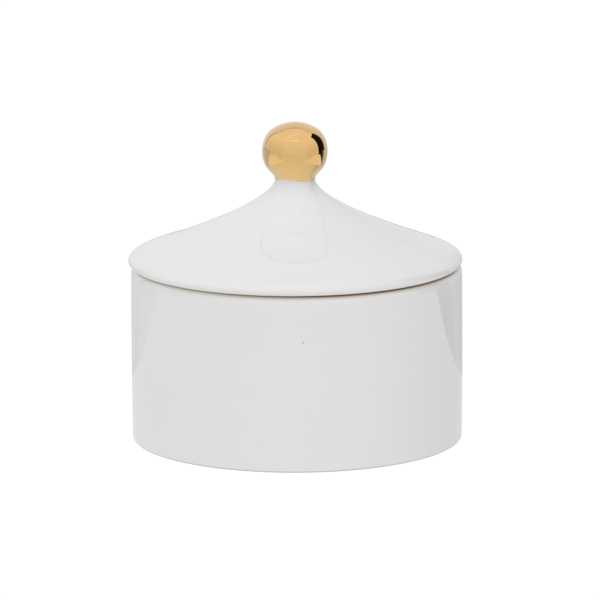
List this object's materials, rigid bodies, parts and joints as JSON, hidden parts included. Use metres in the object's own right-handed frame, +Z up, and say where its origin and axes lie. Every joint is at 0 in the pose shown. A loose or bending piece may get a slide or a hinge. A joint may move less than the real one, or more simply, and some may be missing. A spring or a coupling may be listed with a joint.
{
  "type": "lidded vanity jar",
  "caption": "Round straight-sided porcelain jar with a tent-shaped lift-off lid, a bright ball knob and a soft sealing ring, for creams, cotton or trinkets.",
  "frame": {"origin": "on the table, under the middle of the pot", "axes": "+Z up along the pot's axis, +X to the right and -Y towards the viewer; the jar is round, so +X only marks the way in which the lid lies off centre (towards -X)"},
  "size_m": [0.101, 0.101, 0.0967],
  "materials": {
    "white_glaze": "gloss clear glaze over white porcelain, bare on the foot ring and rim",
    "gold_lustre": "bright gold lustre fired on the glaze, mirror-like",
    "seal_silicone": "soft tan silicone, satin"
  },
  "bodies": {
    "jar": {"jar_body": "white_glaze"},
    "seal": {"lid_seal": "seal_silicone"},
    "lid": {"lid_shell": "white_glaze", "ball_knob": "gold_lustre"}
  },
  "joints": [
    {"name": "lid_lift", "type": "slide", "parent": "jar", "child": "seal", "axis": [0, 0, 1], "range_m": [0, 0.06]},
    {"name": "lid_turn", "type": "hinge", "parent": "seal", "child": "lid", "pos_m": [-0.00042, 0, 0.0534], "axis": [0, 0, 1], "continuous": true}
  ]
}
